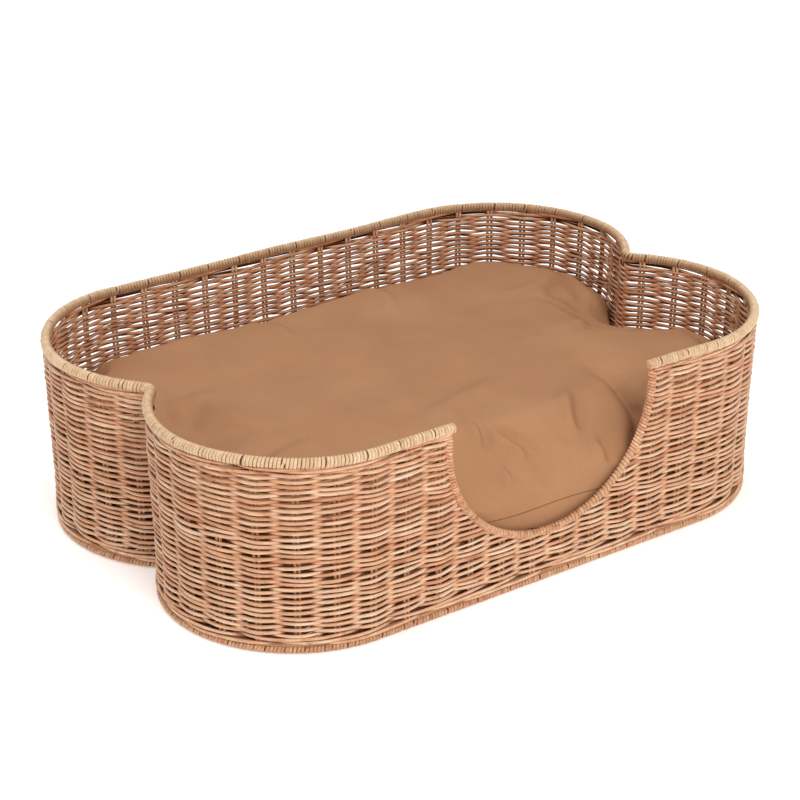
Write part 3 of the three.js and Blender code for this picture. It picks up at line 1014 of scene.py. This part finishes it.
# each fold has its height, its width, how deep the furrow beside it is, and the line of its crest
folds = [
    (0.0060, 0.007, 0.9, [(-0.048, -0.177, 0.167), (-0.049, -0.193, 0.165), (-0.051, -0.207, 0.161),
        (-0.057, -0.222, 0.154)]),
    (0.0082, 0.0088, 0.9, [(-0.030, -0.200, 0.162), (-0.026, -0.214, 0.156), (-0.017, -0.225, 0.150),
        (-0.008, -0.232, 0.143), (-0.006, -0.243, 0.133)]),
    (0.0072, 0.0095, 0.9, [(0.101, -0.174, 0.165), (0.083, -0.200, 0.162), (0.072, -0.224, 0.153),
        (0.072, -0.241, 0.142)]),
    (0.0064, 0.0065, 0.8, [(0.090, -0.247, 0.135), (0.090, -0.256, 0.122), (0.086, -0.262, 0.109)]),
    (0.0050, 0.016, 0.8, [(-0.090, -0.160, 0.169), (-0.038, -0.136, 0.167), (0.007, -0.116, 0.163),
        (0.070, -0.104, 0.164)]),
    (0.0044, 0.006, 0.8, [(-0.045, -0.242, 0.139), (-0.041, -0.251, 0.128), (-0.042, -0.257, 0.116)]),
    (-0.020, 0.013, 0.0, [(0.168, -0.140, 0.168), (0.169, -0.175, 0.166), (0.171, -0.205, 0.161),
        (0.172, -0.228, 0.148), (0.168, -0.242, 0.132), (0.152, -0.255, 0.114), (0.136, -0.262, 0.098)]),
    (0.0045, 0.012, 0.7, [(-0.30, -0.16, 0.166), (-0.26, -0.13, 0.168), (-0.20, -0.12, 0.168)]),
    (0.0040, 0.013, 0.6, [(-0.33, 0.10, 0.166), (-0.29, 0.06, 0.168), (-0.22, 0.05, 0.168)]),
    (0.0045, 0.012, 0.8, [(0.33, 0.13, 0.166), (0.28, 0.09, 0.168), (0.21, 0.10, 0.168)]),
    (0.0035, 0.010, 0.7, [(0.30, -0.06, 0.168), (0.25, -0.03, 0.168), (0.19, -0.04, 0.168)]),
    (0.0040, 0.012, 0.7, [(-0.10, 0.22, 0.166), (-0.07, 0.17, 0.168), (-0.09, 0.11, 0.168)]),
    (0.0035, 0.011, 0.8, [(0.08, 0.23, 0.165), (0.10, 0.18, 0.168), (0.07, 0.13, 0.168)]),
]
# samples on a crest, how far it is lifted to the swollen top, and how far past its line a fold still reaches
crease = {"points": 60, "lift": 0.006, "reach": 0.012}
for height, width, furrow, corners in folds:
    line = curvePoints(corners, crease["points"])
    line[:, 2] += crease["lift"]
    around = np.linalg.norm(line - line.mean(axis=0), axis=1).max() + 7 * width + 0.02
    close = np.nonzero(np.linalg.norm(points - line.mean(axis=0), axis=1) < around)[0]
    gap, which = nearest(points[close], line)
    ahead = directions(line, False)[which]
    across = np.cross(normals[close], ahead)
    signed = np.einsum("ij,ij->i", points[close] - line[which], across)
    taper = np.sin(math.pi * np.clip(which / (crease["points"] - 1), 0.02, 0.98)) ** 0.8
    gap = np.hypot(signed, np.maximum(gap - np.abs(signed) - crease["reach"], 0))
    crest = np.exp(-(gap / width) ** 2)
    trough = np.exp(-((signed - 1.5 * width) / width) ** 2)
    trough = trough * (gap < 6 * width) * np.exp(-np.maximum(gap - 3 * width, 0) / width)
    moved[close] += taper * height * (crest - furrow * trough)

points = keepInside(points + normals * moved[:, None])
mesh.vertices.foreach_set("co", points.ravel())
mesh.polygons.foreach_set("use_smooth", np.ones(len(mesh.polygons), bool))
mesh.update()
mesh.materials.clear()
mesh.materials.append(canvasSkin)
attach(pad, "cushion")
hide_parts("cushion_cover", "cushion_pad")
print("cushion made", len(points))

# the seam's thread follows the swollen surface
flat = points[np.abs(points[:, 2] - cushion["seam"]) < 0.012]
sparse = seamLine[::6]
places = len(sparse)
_, which = nearest(flat, sparse)
reached = np.full(places, -1.0)
np.maximum.at(reached, which, planOffset(flat[:, 0], flat[:, 1])[0])
reached = np.interp(np.arange(places), np.nonzero(reached > -0.5)[0], reached[reached > -0.5])
soft = np.exp(-((np.arange(41) - 20) / 3.0) ** 2)
reached = np.convolve(np.concatenate([reached[-20:], reached, reached[:20]]), soft / soft.sum(), "valid")
bulge = np.interp(np.arange(len(fine)), np.arange(places + 1) * 6, np.append(reached, reached[0]))
seamLook = {**canvasLook, "colours": [(0.2, linear(132, 92, 62)), (0.8, linear(148, 106, 74))]}
seamSkin = canvasMaterial("seam_thread", seamLook)
strands = Strands("cushion_seam")
edgeX, edgeY, _, _ = planAt(fine, bulge - 0.0002)
line = np.stack([edgeX, edgeY, seamHeight(fine)], axis=1)
strands.lay(line, roundProfile(cushion["seamThread"], 8), True, 0.5, fine)
strands.make(seamSkin, "cushion")

# the zip's tapes, slider and pull keep their shapes and get their cloth and metal
for name in ("zip_tape_upper", "zip_tape_lower", "zip_slider", "zip_pull"):
    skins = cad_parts[name].data.materials
    skins.clear()
    skins.append(tapeSkin if "tape" in name else metalSkin)

reach = zipper["length"] / 2 - 0.002
centres = np.tile([0.0, zipper["coilY"], zipper["z"]], (900, 1))
centres[:, 0] = np.linspace(-reach, reach, 900)
ring = roundProfile(zipper["thread"], 5)
ring[:, 1] += zipper["coil"] - zipper["thread"]
across = np.tile([0.0, 1.0, 0.0], (900, 1)), np.tile([0.0, 0.0, 1.0], (900, 1))
wind("zip_coil", (centres, *across), zipper["pitch"], ring, 8, tapeSkin, (), 9, body="cushion")
print("zip made")

shot = {"place": (-1.4718, -2.0152, 1.2593), "azimuth": -36.004, "elevation": 24.518, "lens": 102.6465}
camera = bpy.data.objects.new("camera", bpy.data.cameras.new("camera"))
camera.data.lens = shot["lens"]
camera.data.sensor_width = 36
camera.location = shot["place"]
turn, tilt = math.radians(shot["azimuth"]), math.radians(shot["elevation"])
back = Vector((math.sin(turn) * math.cos(tilt), -math.cos(turn) * math.cos(tilt), math.sin(tilt)))
camera.rotation_euler = back.to_track_quat("Z", "Y").to_euler()
bpy.context.scene.collection.objects.link(camera)
bpy.context.scene.camera = camera

# each light has its name, place, size, watts and colour, and shines at the basket
lights = [
    ("key", (-0.5, -2.6, 2.4), 1.8, 54, (1.0, 0.985, 0.965)),
    ("top", (-0.4, 0.6, 3.0), 2.4, 30, (1.0, 1.0, 1.0)),
]
for name, place, size, watts, colour in lights:
    lamp = bpy.data.lights.new(name, "AREA")
    lamp.shape = "DISK"
    lamp.size = size
    lamp.energy = watts
    lamp.color = colour
    holder = bpy.data.objects.new(name, lamp)
    holder.location = place
    holder.rotation_euler = (Vector(place) - Vector((0, 0, 0.1))).to_track_quat("Z", "Y").to_euler()
    bpy.context.scene.collection.objects.link(holder)

# the room is white at the horizon and dimmer overhead
sky = Shader("world", bpy.data.worlds.new("world"))
skyUp = sky.split(sky.node("ShaderNodeTexCoord", output="Generated"))[2]
sky.finish(Color=(1.0, 1.0, 1.0, 1.0), Strength=1.0 - skyUp.step(0.06, 0.3) * 0.42)
bpy.context.scene.world = sky.material
bpy.context.scene.view_settings.view_transform = "Standard"

ground = Shader("floor")
white = (1.0, 1.0, 1.0, 1.0)
ground.finish(Base_Color=(0.9, 0.9, 0.9, 1.0), Roughness=0.9, Emission_Color=white, Emission_Strength=0.32)
plate = bmesh.new()
bmesh.ops.create_grid(plate, x_segments=1, y_segments=1, size=6.0)
mesh = bpy.data.meshes.new("floor")
plate.to_mesh(mesh)
plate.free()
mesh.materials.append(ground.material)
floorPlate = bpy.data.objects.new("floor", mesh)
bpy.context.scene.collection.objects.link(floorPlate)
